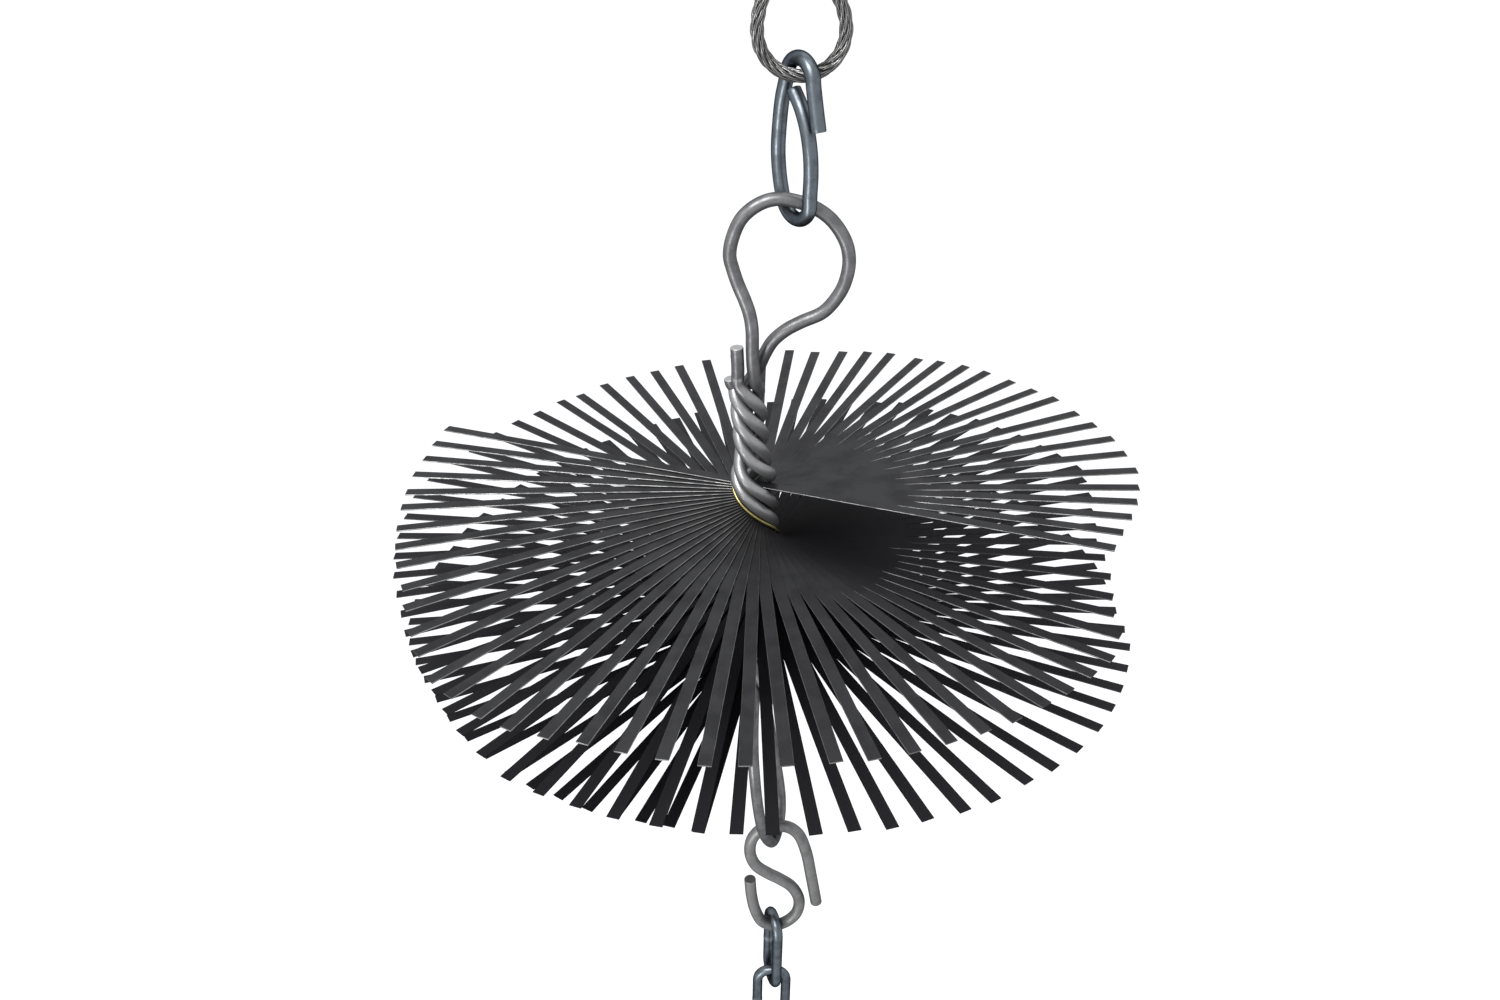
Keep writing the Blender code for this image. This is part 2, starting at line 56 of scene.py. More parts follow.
# Floor, sky, and soft boxes as (name, place, aim, width, height, watts)
FLOOR_Z = -2.50
FLOOR_SIZE = 60.0
FLOOR_COLOUR = (0.93, 0.93, 0.93, 1)
FLOOR_ROUGHNESS = 0.9
SKY_COLOUR = (0.97, 0.98, 1.0, 1)
SKY_STRENGTH = 1.15
SOFT_BOXES = (
    ("key", (-0.70, -0.90, 0.90), (0, 0, -0.20), 0.80, 0.80, 26),
    ("top", (0.10, 0.20, 1.10), (0, 0, -0.25), 1.20, 1.20, 5),
    ("low", (-0.70, -1.00, -0.62), (0, 0, -0.20), 0.30, 0.80, 9),
)

# Sizes and shares as in the part's source
GAP = 0.0003
HANG_GAP = 0.0007
ROPE_D = 0.0040
ROPE_STANDING = 0.0060
ROPE_DEAD_END = 0.0015
FERRULE_LENGTH = 0.0180
EYE_LENGTH = 0.0422
EYE_RADIUS = 0.0123
HOOK_D = 0.0044
HOOK_LENGTH = 0.0465
HOOK_WIDTH = 0.0160
HOOK_ARC_RADIUS = 0.0064
HOOK_EYE_RADIUS = 0.0070
HOOK_YAW = math.radians(-55)
HOOK_EYE_MARGIN = math.radians(22)
WIRE_D = 0.0042
TOP_LOOP_WIDTH = 0.0361
TOP_LOOP_HEIGHT = 0.0597
BOTTOM_LOOP_REACH = 0.0182
BOTTOM_LOOP_HEIGHT = 0.0771
CORE_ABOVE_FAN = 0.0380
CORE_BELOW_FAN = 0.0429
TWIST_LENGTH_ABOVE = 0.0329
TWIST_LENGTH_BELOW = 0.0567
CORE_TIGHT_RADIUS = 0.0039
CORE_OPENING = 0.0100
CORE_LEAN = 0.0012
CORE_KNOT_SPACING = 0.0020
CORE_SIDE_SHARE = 0.735
CORE_OVER_SHARE = 0.62
CUT_END_LENGTH = 0.0135
SHORT_END_LENGTH = 0.0035
SHORT_END_DROP = 0.0025
END_SPLAY = 0.0012
END_SPLAY_HALFWAY_SHARE = 0.75
BRUSH_D = 0.2500
STRIP_WIDTH = 0.0038
STRIP_THICKNESS = 0.0004
STRIP_PITCH_TOP = 0.00050
STRIP_PITCH_BOTTOM = 0.00077
STRIP_COUNT = 72
STRIP_STEP = math.radians(5.07)
FAN_START = math.radians(-22)
FAN_WOBBLE = math.radians(0.7)
WOBBLE_TURN = 2 * math.e
PACKING_D = 0.0009
PACKING_OUT_SHARE = 0.8
S_HOOK_D = 0.0048
S_HOOK_LENGTH = 0.0586
S_HOOK_WIDTH = 0.0277
CHAIN_D = 0.0043
CHAIN_LINK_LENGTH = 0.0432
CHAIN_LINK_WIDTH = 0.0166
UPPER_LINK_YAW = math.radians(-73)

# The photo shows more strips below those of the part's solids
ALL_STRIPS = 92

# Fineness of the surfaces
ARC_STEPS = 8
SPLINE_STEPS = 12
LINE_STEP = 0.0008
ROPE_STEP = 0.0007
PACKING_KNOTS = 96
WIRE_SIDES = 32
THIN_SIDES = 12
STRIP_STATIONS = 21
SHARP_ANGLE = math.radians(38)
NEARLY_PARALLEL = 0.1

# Outline of the hook link as (width, length) shares below its top: open end, long leg, bent-up end
HOOK_OPEN_SHARES = ((0.606, -0.398), (0.494, -0.263))
HOOK_LEG_SHARES = ((-0.512, -0.269), (-0.581, -0.433), (-0.606, -0.613), (-0.537, -0.772))
HOOK_CLOSING_SHARES = (
    (0.412, -0.805),
    (0.419, -0.674),
    (0.375, -0.543),
    (0.256, -0.409),
    (0.065, -0.292),
    (-0.185, -0.198),
)

# Top loop as (width, depth, height) shares above the core, from its left leg round to its right leg
TOP_LOOP_SHARES = (
    (0.042, -0.089, 0.101),
    (0.042, -0.091, 0.209),
    (0.046, -0.083, 0.327),
    (0.030, -0.066, 0.405),
    (-0.006, -0.042, 0.477),
    (-0.058, -0.017, 0.559),
    (-0.097, 0.0, 0.642),
    (-0.116, 0.0, 0.709),
    (-0.089, 0.0, 0.797),
    (0.003, 0.0, 0.908),
    (0.155, 0.0, 0.977),
    (0.299, 0.0, 0.998),
    (0.452, 0.0, 0.982),
    (0.601, 0.0, 0.946),
    (0.745, 0.0, 0.876),
    (0.859, 0.0, 0.757),
    (0.884, 0.0, 0.657),
    (0.856, 0.0, 0.559),
    (0.798, 0.0, 0.481),
    (0.662, 0.003, 0.384),
    (0.476, 0.008, 0.332),
    (0.338, 0.017, 0.286),
    (0.219, 0.028, 0.221),
    (0.147, 0.039, 0.147),
    (0.091, 0.061, 0.070),
)
TOP_HANG_INDEX = 12

# Bottom loop as (sideways, depth, height) shares below the core, from its back leg round to its front leg
BOTTOM_LOOP_SHARES = (
    (-0.027, 0.192, -0.058),
    (0.016, 0.176, -0.124),
    (0.066, 0.198, -0.256),
    (0.121, 0.275, -0.441),
    (0.192, 0.407, -0.626),
    (0.231, 0.495, -0.758),
    (0.247, 0.505, -0.857),
    (0.225, 0.374, -0.948),
    (0.126, 0.0, -1.0),
    (0.049, -0.286, -0.978),
    (-0.044, -0.566, -0.897),
    (-0.132, -0.819, -0.771),
    (-0.176, -0.945, -0.653),
    (-0.214, -1.0, -0.507),
    (-0.236, -0.989, -0.362),
    (-0.247, -0.852, -0.243),
    (-0.236, -0.577, -0.144),
    (-0.214, -0.302, -0.071),
)
BOTTOM_HANG_INDEX = 8

# S-hook from its long end, as (width, length) shares below the top of its upper arc
S_HOOK_SHARES = (
    (0.632, -0.752),
    (0.534, -0.478),
    (0.440, -0.238),
    (0.314, -0.073),
    (0.173, -0.012),
    (0.0, 0.0),
    (-0.188, -0.023),
    (-0.343, -0.123),
    (-0.375, -0.266),
    (-0.285, -0.389),
    (-0.105, -0.465),
    (0.076, -0.522),
    (0.260, -0.600),
    (0.372, -0.729),
    (0.336, -0.872),
    (0.177, -0.966),
    (0.0, -1.0),
    (-0.168, -0.966),
    (-0.278, -0.852),
    (-0.343, -0.694),
    (-0.372, -0.525),
)

# Reach of the strips' two ends, as (share of the solid strips, counted from the top, share of the radius)
FAR_REACH_SHARES = (
    (0.000, 0.950),
    (0.014, 0.960),
    (0.042, 0.998),
    (0.070, 1.032),
    (0.097, 1.034),
    (0.167, 1.028),
    (0.250, 1.006),
    (0.350, 0.996),
    (0.430, 1.000),
    (0.486, 1.030),
    (0.500, 1.046),
    (0.514, 1.042),
    (0.528, 1.026),
    (0.556, 1.000),
    (0.583, 0.976),
    (0.600, 0.965),
    (0.653, 0.964),
    (0.680, 0.986),
    (0.708, 1.012),
    (0.736, 1.008),
    (0.800, 0.990),
    (0.880, 1.018),
    (0.944, 1.028),
    (1.000, 1.014),
    (1.014, 1.000),
    (1.035, 0.975),
    (1.069, 0.988),
    (1.280, 0.990),
)
NEAR_REACH_SHARES = (
    (0.000, 0.980),
    (0.014, 0.965),
    (0.070, 0.949),
    (0.125, 0.950),
    (0.139, 0.965),
    (0.153, 0.985),
    (0.167, 1.005),
    (0.181, 1.028),
    (0.200, 1.032),
    (0.222, 1.026),
    (0.236, 1.008),
    (0.250, 0.990),
    (0.300, 0.980),
    (0.375, 0.988),
    (0.440, 1.018),
    (0.458, 1.028),
    (0.472, 1.012),
    (0.486, 0.975),
    (0.500, 0.957),
    (0.542, 0.918),
    (0.570, 0.950),
    (0.611, 1.026),
    (0.700, 1.020),
    (0.850, 0.985),
    (1.000, 0.976),
    (1.046, 1.000),
    (1.069, 0.982),
    (1.083, 0.963),
    (1.111, 0.926),
    (1.153, 0.889),
    (1.181, 0.866),
    (1.208, 0.834),
    (1.236, 0.806),
    (1.280, 0.785),
)

# Sizes that follow from the ones above, as in the part's source
ROPE_LEG_SHIFT = ROPE_D + 2 * GAP
FERRULE_TOP_Z = -ROPE_STANDING
FERRULE_BOTTOM_Z = FERRULE_TOP_Z - FERRULE_LENGTH
EYE_BOTTOM_Z = FERRULE_BOTTOM_Z - EYE_LENGTH
HOOK_TOP_RISE = (ROPE_D + HOOK_D) / 2 + HANG_GAP
HOOK_BOTTOM_Z = EYE_BOTTOM_Z + HOOK_TOP_RISE - HOOK_LENGTH
TOP_HANG_RISE = (HOOK_D + WIRE_D) / 2 + HANG_GAP + GAP
STRIP_GROWTH = (STRIP_PITCH_BOTTOM - STRIP_PITCH_TOP) / (2 * STRIP_COUNT)
FAN_HEIGHT = STRIP_COUNT * STRIP_PITCH_TOP + STRIP_GROWTH * STRIP_COUNT**2
CORE_BOTTOM_Z = -FAN_HEIGHT - CORE_BELOW_FAN
CORE_PAIR_U = CORE_SIDE_SHARE * WIRE_D
CORE_PAIR_V = STRIP_WIDTH / 2 + GAP + CORE_OVER_SHARE * WIRE_D
S_HOOK_RISE = (WIRE_D + S_HOOK_D) / 2 + HANG_GAP
UPPER_LINK_RISE = (S_HOOK_D + CHAIN_D) / 2 + HANG_GAP
LOWER_LINK_RISE = CHAIN_D + HANG_GAP

# The core stays open over all the strips that are seen
OPEN_HEIGHT = ALL_STRIPS * STRIP_PITCH_TOP + STRIP_GROWTH * ALL_STRIPS**2

# Wire rope: six strands round a seventh, each a ring of wires, so three strands and nine wires lie across it
STRAND_COUNT = 6
STRAND_D = ROPE_D / 3
STRAND_LAY = 0.0260
STRAND_WIRE_D = STRAND_D / 3
STRAND_WIRE_LAY = 0.0130
WIRES_IN_STRAND = 6
LOBE_POINTS = 5
GROOVE_FLOOR_SHARE = 0.98
STRAND_GRAIN_SHIFT = 0.0010
STRAND_GRAIN_WIDTH = 0.0003

# Cut ends of wires: rounded over by shares of the radius, and dished where a shear has cupped them. Rings
# with less than END_FACE_SHARE of the radius belong to the cut face.
END_BEVEL = 0.00030
END_ROUND_SHARES = (0.35, 0.70, 0.88, 0.96)
END_FACE_SHARE = 0.9
END_RIM_WEAR = 0.6
END_DISH = 0.00025

# Wear from 0 to 1: where the core was rubbed bright, at a link's weld, and at the dents of the twisting jaws
RUBBED_WEAR = 0.36
RUBBED_FADE = 0.004
WELD_HEIGHT_SHARE = 0.05
WELD_LENGTH = 0.0011
WELD_WEAR = 0.5
DENT_WEAR = 0.9
DENT_COUNT = 7
DENT_FROM_END = 0.0105
DENT_SPREAD = 0.0016
DENT_LENGTHS = (0.0005, 0.0007)
DENT_WIDTH = 0.0006
DENT_DEPTH = 0.00026

# Strips: corners and flat sides of the section, small bends and rolls, and the shift of the grain
STRIP_BEVEL = 0.00011
STRIP_CORNERS = 8
STRIP_FLATS = (0, 4)
SLIT_CORNERS = (2, 3, 6, 7)
STRIP_TIP_SAG = 0.0006
STRIP_SAG_POWER = 2.5
STRIP_TIP_BEND = 0.0007
STRIP_ROLL = math.radians(2.0)
STRIP_GRAIN_SHIFT = 0.0200
STRIP_SEED = 1000
STRIP_DRAWS = 6

# Painted shade: strips grow blacker from this one down, over this many of them, standing in for the shade
# deep in the fan
PAINTED_SHADE_FIRST = 20
PAINTED_SHADE_SPAN = 20

# Painted shade: how black the topmost pair's slit edges are along the step of the fan, to dull the bright
# line that light draws there
STEP_EDGE_PAINTED_SHADE = 0.88

# Colour sockets of a Mix node, whose names are shared with its other kinds
MIX_COLOUR_INPUTS = (6, 7)
MIX_COLOUR_OUTPUT = 2

# Noises of the metals as (detail, roughness), and the ranges that cut them to masks
LINES_NOISE = (3.0, 0.6)
SPOTS_NOISE = (4.0, 0.55)
BLOTCH_RANGE = (0.32, 0.68)
SPECK_RANGE = (0.62, 0.74)
LINES_IN_TONE = 0.5
TONE_SPREAD = (-0.1, 0.9)
SPECKS_IN_RELIEF = 0.6

# Finishes: three tones, the roughness of the light and the dark tone, and what sets each apart from the
# usual. The third tone goes to specks and to the wear value: real wear on the wires, painted shade on the
# strips, their slit edges and the rope's grooves
FINISHES = {
    "galvanised wire": {
        "dark": (0.078, 0.090, 0.102),
        "light": (0.125, 0.143, 0.160),
        "wear_and_shade_tone": (0.34, 0.36, 0.38),
        "rough": (0.32, 0.44),
        "relief": 0.000008,
    },
    "core wire": {
        "dark": (0.100, 0.100, 0.103),
        "light": (0.155, 0.155, 0.160),
        "wear_and_shade_tone": (0.42, 0.42, 0.42),
        "rough": (0.34, 0.46),
        "relief": 0.00001,
        "metallic": 0.75,
    },
    "stranded rope": {
        "dark": (0.130, 0.128, 0.125),
        "light": (0.260, 0.255, 0.250),
        # Painted shade: the dark tone of the grooves between the wires, also used for specks
        "wear_and_shade_tone": (0.035, 0.035, 0.035),
        "rough": (0.26, 0.40),
        "speck_share": 0.1,
        "metallic": 0.8,
    },
    "pressed alloy": {
        "dark": (0.42, 0.42, 0.42),
        "light": (0.60, 0.60, 0.60),
        "wear_and_shade_tone": (0.70, 0.70, 0.70),
        "rough": (0.35, 0.50),
        "has_wear_and_shade": False,
    },
    "matt zinc": {
        "dark": (0.13, 0.13, 0.13),
        "light": (0.18, 0.18, 0.18),
        "wear_and_shade_tone": (0.08, 0.08, 0.08),
        "rough": (0.46, 0.58),
        "relief": 0.00001,
        "metallic": 0.75,
    },
    "chain steel": {
        "dark": (0.075, 0.086, 0.097),
        "light": (0.125, 0.143, 0.160),
        "wear_and_shade_tone": (0.32, 0.34, 0.36),
        "rough": (0.32, 0.44),
        "relief": 0.00001,
    },
    "brass packing": {
        "dark": (0.26, 0.22, 0.08),
        "light": (0.46, 0.40, 0.17),
        "wear_and_shade_tone": (0.60, 0.55, 0.30),
        "rough": (0.30, 0.45),
        "metallic": 0.8,
    },
    "blackened spring steel": {
        "dark": (0.017, 0.017, 0.018),
        "light": (0.031, 0.031, 0.032),
        # Painted shade: the dark tone of the lower strips, also used for specks
        "wear_and_shade_tone": (0.013, 0.0125, 0.015),
        "rough": (0.34, 0.46),
        "along": 30.0,
        "across": 2600.0,
        "blotch": 90.0,
        "speck": 1500.0,
        "relief": 0.000008,
        "speck_share": 0.2,
        # Painted shade at the outlines, lighter than on the wires
        "edge_tint": 0.4,
        "metallic": 0.6,
    },
    "slit strip edge": {
        "dark": (0.11, 0.11, 0.11),
        "light": (0.26, 0.26, 0.255),
        # Painted shade: the dark tone of the step edge and of the lower strips' edges, also used for specks
        "wear_and_shade_tone": (0.020, 0.020, 0.022),
        "rough": (0.42, 0.56),
    },
}


# Camera and light


def make_camera():
    """The camera of the photograph: columns of its turn are right, up and backward."""
    data = bpy.data.cameras.new("camera")
    data.sensor_fit = "HORIZONTAL"
    data.sensor_width = SENSOR_WIDTH_MM
    data.lens = SENSOR_WIDTH_MM * FOCAL_SHARE
    data.clip_start = NEAREST_SEEN
    data.clip_end = FARTHEST_SEEN
    camera = bpy.data.objects.new("camera", data)
    bpy.context.scene.collection.objects.link(camera)
    right = CAMERA_FORWARD.cross(CAMERA_UP).normalized()
    up = right.cross(CAMERA_FORWARD).normalized()
    turn = Matrix((right, up, -CAMERA_FORWARD.normalized())).transposed()
    camera.matrix_world = Matrix.Translation(CAMERA_PLACE) @ turn.to_4x4()
    bpy.context.scene.camera = camera


def make_soft_box(name, place, aim, width, height, watts):
    """A soft box that faces a point."""
    data = bpy.data.lights.new(name, "AREA")
    data.shape = "RECTANGLE"
    data.size = width
    data.size_y = height
    data.energy = watts
    light = bpy.data.objects.new(name, data)
    bpy.context.scene.collection.objects.link(light)
    light.location = place
    light.rotation_euler = (Vector(aim) - Vector(place)).to_track_quat("-Z", "Y").to_euler()


def make_floor():
    """A square of plain pale matt paper, far below the brush."""
    paint = bpy.data.materials.new("pale floor")
    paint.use_nodes = True
    shader = paint.node_tree.nodes["Principled BSDF"]
    shader.inputs["Base Color"].default_value = FLOOR_COLOUR
    shader.inputs["Roughness"].default_value = FLOOR_ROUGHNESS
    half = FLOOR_SIZE / 2
    corners = [(x * half, y * half, FLOOR_Z) for x, y in ((-1, -1), (1, -1), (1, 1), (-1, 1))]
    mesh = bpy.data.meshes.new("floor")
    mesh.from_pydata(corners, [], [(0, 1, 2, 3)])
    mesh.materials.append(paint)
    floor = bpy.data.objects.new("floor", mesh)
    bpy.context.scene.collection.objects.link(floor)


def make_studio():
    """The floor, an even pale sky and the soft boxes, shown without a film look."""
    make_floor()
    world = bpy.data.worlds.new("studio")
    world.use_nodes = True
    sky = world.node_tree.nodes["Background"]
    sky.inputs["Color"].default_value = SKY_COLOUR
    sky.inputs["Strength"].default_value = SKY_STRENGTH
    bpy.context.scene.world = world
    for box in SOFT_BOXES:
        make_soft_box(*box)
    bpy.context.scene.view_settings.view_transform = "Standard"


# Curves as arrays


def smooth_curve(points):
    """Points close together on a centripetal Catmull-Rom spline through the given ones."""
    knots = np.array([tuple(p) for p in points], float)
    around = np.vstack([2 * knots[:1] - knots[1:2], knots, 2 * knots[-1:] - knots[-2:-1]])
    a, b, c, d = (around[i : len(around) - 3 + i, None, :] for i in range(4))
    spans = np.sqrt(np.linalg.norm(np.diff(around, axis=0), axis=1))
    t1 = spans[:-2, None, None]
    t2 = t1 + spans[1:-1, None, None]
    t3 = t2 + spans[2:, None, None]
    t = t1 + (t2 - t1) * (np.arange(SPLINE_STEPS) / SPLINE_STEPS)[None, :, None]
    ab = a + (b - a) * t / t1
    bc = b + (c - b) * (t - t1) / (t2 - t1)
    cd = c + (d - c) * (t - t2) / (t3 - t2)
    abc = ab + (bc - ab) * t / t2
    bcd = bc + (cd - bc) * (t - t1) / (t3 - t1)
    curve = abc + (bcd - abc) * (t - t1) / (t2 - t1)
    return np.vstack([curve.reshape(-1, 3), knots[-1:]])


def lengths_along(line):
    """Distance of each point from the start of a line."""
    return np.concatenate([[0.0], np.cumsum(np.linalg.norm(np.diff(line, axis=0), axis=1))])


def at_lengths(line, stops):
    """Points of a line at the given distances from its start."""
    along = lengths_along(line)
    return np.stack([np.interp(stops, along, line[:, k]) for k in range(3)], axis=1)


def arc(centre, radius, start, end):
    """Points on an arc in the XZ plane; angles turn from +X towards +Z."""
    turns = start + (end - start) * np.arange(ARC_STEPS + 1) / ARC_STEPS
    return np.array(centre) + radius * np.stack([np.cos(turns), 0 * turns, np.sin(turns)], axis=1)


def carried_frames(line, closed=False):
    """Tangents and two sideways directions at each point, turned as little as possible between points."""
    if closed:
        tangent = np.roll(line, -1, axis=0) - np.roll(line, 1, axis=0)
    else:
        tangent = np.gradient(line, axis=0)
    tangent /= np.linalg.norm(tangent, axis=1, keepdims=True)
    start = np.cross(tangent[0], (0.0, 1.0, 0.0))
    if np.linalg.norm(start) < NEARLY_PARALLEL:
        start = np.cross(tangent[0], (1.0, 0.0, 0.0))
    side = [start / np.linalg.norm(start)]
    for direction in tangent[1:]:
        kept = side[-1] - direction * (side[-1] @ direction)
        side.append(kept / np.linalg.norm(kept))
    side = np.array(side)
    return tangent, side, np.cross(tangent, side)


def carried(points, matrix):
    """Points carried by a matrix."""
    turn = np.array(matrix.to_3x3())
    return points @ turn.T + np.array(matrix.translation)


# Meshes from arrays


def add_piece(name, points, faces, paint, lay, wear_and_shade):
    """A mesh from points and faces; each point keeps its lay and a value for real wear and painted shade,
    which the paints read.
    """
    mesh = bpy.data.meshes.new(name)
    mesh.from_pydata(points.reshape(-1, 3), [], faces)
    mesh.attributes.new("lay", "FLOAT_VECTOR", "POINT").data.foreach_set("vector", lay.reshape(-1))
    mesh.attributes.new("wear_and_shade", "FLOAT", "POINT").data.foreach_set("value", wear_and_shade.reshape(-1))
    mesh.shade_smooth()
    mesh.set_sharp_from_angle(angle=SHARP_ANGLE)
    mesh.materials.append(paint)
    piece = bpy.data.objects.new(name, mesh)
    bpy.context.scene.collection.objects.link(piece)
    return piece


def tube_faces(rings, sides, closed=False, first=0):
    """Faces of a tube of rings; its open ends are closed by one many-sided face each."""
    ring = np.arange(rings if closed else rings - 1)[:, None]
    side = np.arange(sides)[None, :]
    ahead = (ring + 1) % rings
    beside = (side + 1) % sides
    corners = (ring * sides + side, ring * sides + beside, ahead * sides + beside, ahead * sides + side)
    faces = (np.stack(np.broadcast_arrays(*corners), axis=-1) + first).reshape(-1, 4).tolist()
    if not closed:
        faces.append([first + k for k in reversed(range(sides))])
        faces.append([first + (rings - 1) * sides + k for k in range(sides)])
    return faces


def finish_piece(piece, body, slot, *nodes):
    """The piece rides on its body and stands for its solids, which are hidden; the slot is not used."""
    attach(piece, body)
    if nodes:
        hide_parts(*nodes)


# Round wires


def wire_stops(total, closed):
    """Distances of a wire's rings, and the share of its radius that each keeps; cut ends are rounded over."""
    steps = round(total / LINE_STEP)
    if closed:
        return total * np.arange(steps) / steps, np.ones(steps)
    inner = np.linspace(END_BEVEL, total - END_BEVEL, steps)
    third = END_BEVEL / 3
    stops = np.concatenate([[0, 0, 0, third], inner, [total - third, total, total, total]])
    kept = np.ones(len(stops))
    kept[: len(END_ROUND_SHARES)] = END_ROUND_SHARES
    kept[-len(END_ROUND_SHARES) :] = END_ROUND_SHARES[::-1]
    return stops, kept


def ring_frames(line, stops, total, closed):
    """Frames of a wire's rings: carried along even stops, and mixed at an open wire's own stops."""
    if closed:
        return carried_frames(at_lengths(line, stops), True)
    frames = carried_frames(at_lengths(line, np.linspace(0, total, len(stops))))
    share = stops / total * (len(stops) - 1)
    low = np.clip(share.astype(int), 0, len(stops) - 2)
    part = (share - low)[:, None]
    return tuple(rows[low] * (1 - part) + rows[low + 1] * part for rows in frames)


def rubbed_wear(heights, low, high):
    """Wear that rises evenly over a short way inside the two heights."""
    inside = np.minimum(heights - low, high - heights) / RUBBED_FADE
    return RUBBED_WEAR * np.clip(inside, 0, 1)


def dent_bell(dent, stops, turns, radius):
    """A bell shape in distance along and round the wire, 1 in the middle of the dent."""
    from_start, turn, length = dent
    away = (stops[:, None] - from_start) / length
    round_by = (turns[None, :] - turn + math.pi) % math.tau - math.pi
    return np.exp(-(away**2) - (round_by * radius / DENT_WIDTH) ** 2)


def weld_ridge(stops):
    """A low bell-shaped ridge right round a closed wire, where its evenly spaced stops start and end."""
    total = stops[1] * len(stops)
    return np.exp(-((np.minimum(stops, total - stops) / WELD_LENGTH) ** 2))[:, None]


def wire_profile(diameter, stops, kept, turns, closed, dents):
    """Radius and wear of a wire at each stop and turn.

    The radius is even, but for rounded cut ends, the weld of a closed wire and dents of bell shape. The wear
    is 1 on a cut end, and less at the end's rim, at the weld and in a dent.
    """
    whole = np.ones((len(stops), len(turns)))
    radius = diameter / 2 * kept[:, None] * whole
    wear_and_shade = np.where(kept < END_FACE_SHARE, 1.0, np.where(kept < 1, END_RIM_WEAR, 0.0))[:, None] * whole
    for dent in dents:
        bell = dent_bell(dent, stops, turns, diameter / 2)
        radius = radius - DENT_DEPTH * bell
        wear_and_shade = np.maximum(wear_and_shade, DENT_WEAR * bell)
    if closed:
        ridge = weld_ridge(stops)
        radius = radius * (1 + WELD_HEIGHT_SHARE * ridge)
        wear_and_shade = np.maximum(wear_and_shade, WELD_WEAR * ridge)
    return radius, wear_and_shade


def make_wire(name, line, diameter, paint, sides=WIRE_SIDES, closed=False, dish=0.0, dents=(), rubbed=None):
    """A round wire carried along a line, as a piece in the frame of its line.

    A point stands off the line by its radius, in the direction of its turn. Its lay is its distance along and
    its place across. The wire may be rubbed bright between two heights.
    """
    if closed:
        line = np.vstack([line, line[:1]])
    total = lengths_along(line)[-1]
    stops, kept = wire_stops(total, closed)
    turns = math.tau * np.arange(sides) / sides
    tangent, side, other = ring_frames(line, stops, total, closed)
    sink = np.zeros(len(stops))
    sink[0], sink[-1] = dish, -dish
    centre = at_lengths(line, stops) + tangent * sink[:, None]
    radius, wear_and_shade = wire_profile(diameter, stops, kept, turns, closed, dents)
    if rubbed is not None:
        wear_and_shade = np.maximum(wear_and_shade, rubbed_wear(centre[:, 2:], *rubbed))
    across = np.cos(turns)[:, None] * side[:, None, :] + np.sin(turns)[:, None] * other[:, None, :]
    points = centre[:, None, :] + radius[..., None] * across
    round_it = diameter / 2 * np.stack([0 * turns, np.cos(turns), np.sin(turns)], axis=1)
    lay = stops[:, None, None] * np.array([1.0, 0.0, 0.0]) + round_it
    return add_piece(name, points, tube_faces(len(stops), sides, closed), paint, lay, wear_and_shade)


# Lines of the pieces


def rope_line():
    """Down through the ferrule, round the eye, and back up through the ferrule to the dead end.

    Below the ferrule each leg eases out to the eye's half circle by half a cosine wave.
    """
    centre = np.array((0, 0, EYE_BOTTOM_Z + EYE_RADIUS))
    neck = FERRULE_BOTTOM_Z - centre[2]
    shares = np.arange(1, ARC_STEPS) / ARC_STEPS
    out = (1 - np.cos(math.pi * shares)) / 2
    level = FERRULE_BOTTOM_Z - neck * shares
    going = np.stack([EYE_RADIUS * out, 0 * out, level], axis=1)
    coming = np.stack([-ROPE_LEG_SHIFT - (EYE_RADIUS - ROPE_LEG_SHIFT) * out, 0 * out, level], axis=1)[::-1]
    start = [(0, 0, 0), (0, 0, FERRULE_TOP_Z), (0, 0, FERRULE_BOTTOM_Z)]
    end = [(-ROPE_LEG_SHIFT, 0, FERRULE_BOTTOM_Z), (-ROPE_LEG_SHIFT, 0, FERRULE_TOP_Z + ROPE_DEAD_END)]
    return smooth_curve(np.vstack([start, going, arc(centre, EYE_RADIUS, 0, -math.pi), coming, end]))


def outline_points(shares, width, length, rise):
    """Points of a flat outline given as (width, length) shares below a top."""
    table = np.array(shares)
    return np.stack([table[:, 0] * width, 0 * table[:, 0], rise + table[:, 1] * length], axis=1)


def hook_line():
    """The open hook passes over the rope; the other end is bent up to close the lower eye."""
    rise = HOOK_TOP_RISE
    eye = (0, 0, rise + HOOK_EYE_RADIUS - HOOK_LENGTH)
    rows = [
        outline_points(HOOK_OPEN_SHARES, HOOK_WIDTH, HOOK_LENGTH, rise),
        arc((0, 0, rise - HOOK_ARC_RADIUS), HOOK_ARC_RADIUS, 0, math.pi),
        outline_points(HOOK_LEG_SHARES, HOOK_WIDTH, HOOK_LENGTH, rise),
        arc(eye, HOOK_EYE_RADIUS, -math.pi + HOOK_EYE_MARGIN, -HOOK_EYE_MARGIN),
        outline_points(HOOK_CLOSING_SHARES, HOOK_WIDTH, HOOK_LENGTH, rise),
    ]
    return smooth_curve(np.vstack(rows))


def strip_height(count):
    """Height of a strip in the fan: the pitch grows evenly, so it falls with the count and its square."""
    return -(STRIP_PITCH_TOP * count + STRIP_GROWTH * count**2)


